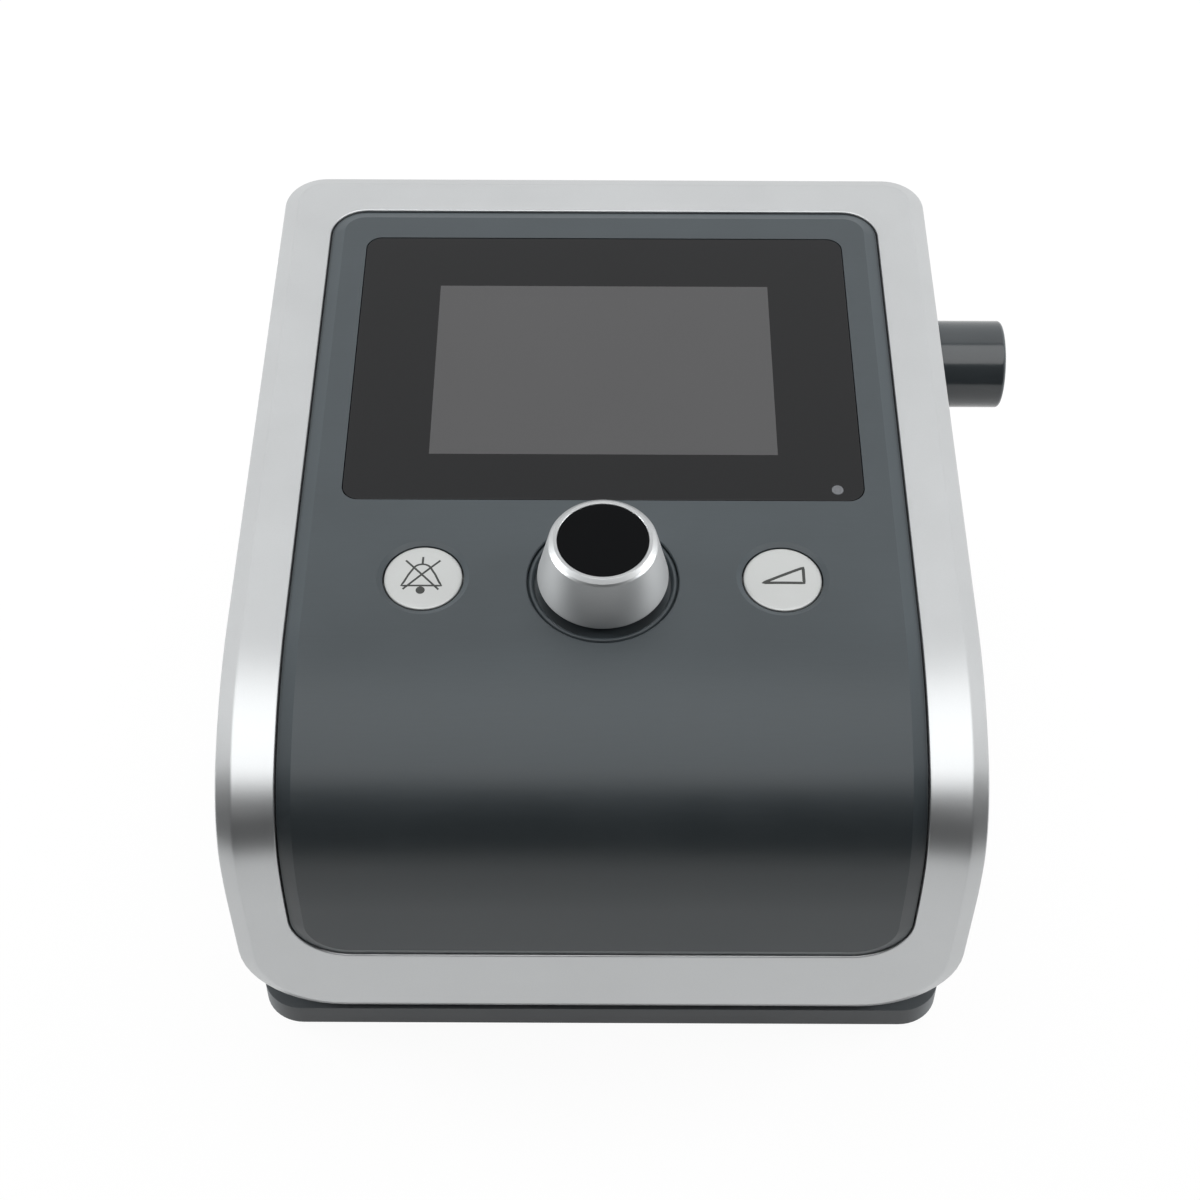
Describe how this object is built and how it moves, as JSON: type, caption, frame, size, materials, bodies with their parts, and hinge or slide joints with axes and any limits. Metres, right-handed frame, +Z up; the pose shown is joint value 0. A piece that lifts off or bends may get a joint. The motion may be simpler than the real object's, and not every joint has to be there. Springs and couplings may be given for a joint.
{
  "type": "bilevel pap machine",
  "caption": "Bedside bilevel breathing machine: bent control face in a silver surround, screen, push-and-turn knob, buttons, side air spigot, blower in a sound box inside.",
  "frame": {"origin": "on the desk, midway between the silver surround's sides, halfway between the front wall and the rear wall, in the plane of the rubber ring's underside", "axes": "+X to the user's right, along the air spigot; +Y to the rear; +Z up"},
  "size_m": [0.1889, 0.1959, 0.118],
  "materials": {
    "case_plastic": "fine-textured dark grey moulded plastic",
    "ring_rubber": "matte black rubber",
    "screw_steel": "zinc-plated",
    "speaker_black": "black",
    "silver": "satin silver paint on moulded plastic",
    "fascia_grey": "satin dark grey, faint fine brushing",
    "screen_black": "black-printed cover glass",
    "display_grey": "unlit display, grey",
    "bracket_steel": "pressed sheet steel",
    "lens_black": "tinted lens",
    "knob_silver": "satin silver",
    "cap_black": "gloss black",
    "board_green": "solder-masked circuit board",
    "part_black": "black moulded housing",
    "brass": "turned and plated",
    "rotor_white": "white moulded",
    "shaft_steel": "ground steel",
    "outlet_grey": "dark grey, glossy",
    "duct_grey": "mid grey moulded",
    "hose_clear": "translucent silicone",
    "filter_foam": "open-cell filter foam",
    "sound_foam": "dark acoustic foam",
    "volute_white": "white moulded",
    "magnet": "nickel-plated magnet",
    "copper": "enamelled copper on a steel core",
    "capacitor": "sleeved cans",
    "sink_aluminium": "extruded",
    "cell_steel": "stainless",
    "socket_steel": "tin-plated shell",
    "card_blue": "plain blue, no print",
    "lead_red": "insulated leads"
  },
  "bodies": {
    "machine": {"base_tray": "case_plastic", "main_case": "case_plastic", "rear_cover": "case_plastic", "foot_ring": "ring_rubber", "outlet_seal": "ring_rubber", "blower_mounts": "ring_rubber", "nozzle_grommet": "ring_rubber", "case_screws": "screw_steel", "control_board_screws": "screw_steel", "board_screws": "screw_steel", "speaker": "speaker_black", "silver_surround": "silver", "front_fascia": "fascia_grey", "knob_well_ring": "fascia_grey", "screen_glass": "screen_black", "display_panel": "display_grey", "display_bracket": "bracket_steel", "sensor_lens": "lens_black", "control_board": "board_green", "main_board": "board_green", "port_board": "board_green", "motor_board": "board_green", "encoder_housing": "part_black", "tact_switches": "part_black", "main_chip": "part_black", "flow_sensor": "part_black", "power_inlet": "part_black", "encoder_bush": "brass", "motor_bearings": "shaft_steel", "air_outlet": "outlet_grey", "outlet_chamber": "duct_grey", "inlet_duct": "duct_grey", "sound_box": "duct_grey", "sound_box_lid": "duct_grey", "pressure_hose": "hose_clear", "acoustic_foam": "sound_foam", "lower_volute": "volute_white", "upper_volute": "volute_white", "motor_stator": "copper", "capacitors": "capacitor", "heat_sink": "sink_aluminium", "backup_cell": "cell_steel", "card_socket": "socket_steel", "data_port": "socket_steel", "internal_leads": "lead_red"},
    "encoder": {"encoder_rotor": "rotor_white"},
    "knob": {"knob_shell": "knob_silver", "knob_cap": "cap_black", "encoder_shaft": "shaft_steel"},
    "mute": {"mute_button": "knob_silver", "mute_plunger": "rotor_white"},
    "ramp": {"ramp_button": "knob_silver", "ramp_plunger": "rotor_white"},
    "blower": {"impeller": "volute_white", "motor_shaft": "shaft_steel", "rotor_magnet": "magnet"},
    "filter": {"filter_cover": "case_plastic", "air_filter": "filter_foam"},
    "card": {"memory_card": "card_blue"},
    "flap": {"port_flap": "ring_rubber"}
  },
  "joints": [
    {"name": "knob_turn", "type": "hinge", "parent": "machine", "child": "encoder", "pos_m": [0, -0.04093, 0.09994], "axis": [0, -0.1357, 0.9907], "continuous": true},
    {"name": "knob_press", "type": "slide", "parent": "encoder", "child": "knob", "axis": [0, 0.1357, -0.9907], "range_m": [0, 0.0006], "stiffness_N_per_m": 2500, "springref_m": -0.0006},
    {"name": "mute_press", "type": "slide", "parent": "machine", "child": "mute", "axis": [0, 0.1357, -0.9907], "range_m": [0, 0.0008], "stiffness_N_per_m": 1500, "springref_m": -0.0006},
    {"name": "ramp_press", "type": "slide", "parent": "machine", "child": "ramp", "axis": [0, 0.1357, -0.9907], "range_m": [0, 0.0008], "stiffness_N_per_m": 1500, "springref_m": -0.0006},
    {"name": "blower_spin", "type": "hinge", "parent": "machine", "child": "blower", "pos_m": [-0.001, 0.0255, 0.048], "axis": [0, 0, 1], "continuous": true},
    {"name": "filter_pull", "type": "slide", "parent": "machine", "child": "filter", "axis": [0, 1, 0], "range_m": [0, 0.024]},
    {"name": "card_slide", "type": "slide", "parent": "machine", "child": "card", "axis": [-1, 0, 0], "range_m": [0, 0.026]},
    {"name": "flap_swing", "type": "hinge", "parent": "machine", "child": "flap", "pos_m": [0.038, 0.0972, 0.0278], "axis": [1, 0, 0], "range_deg": [0, 100]}
  ]
}
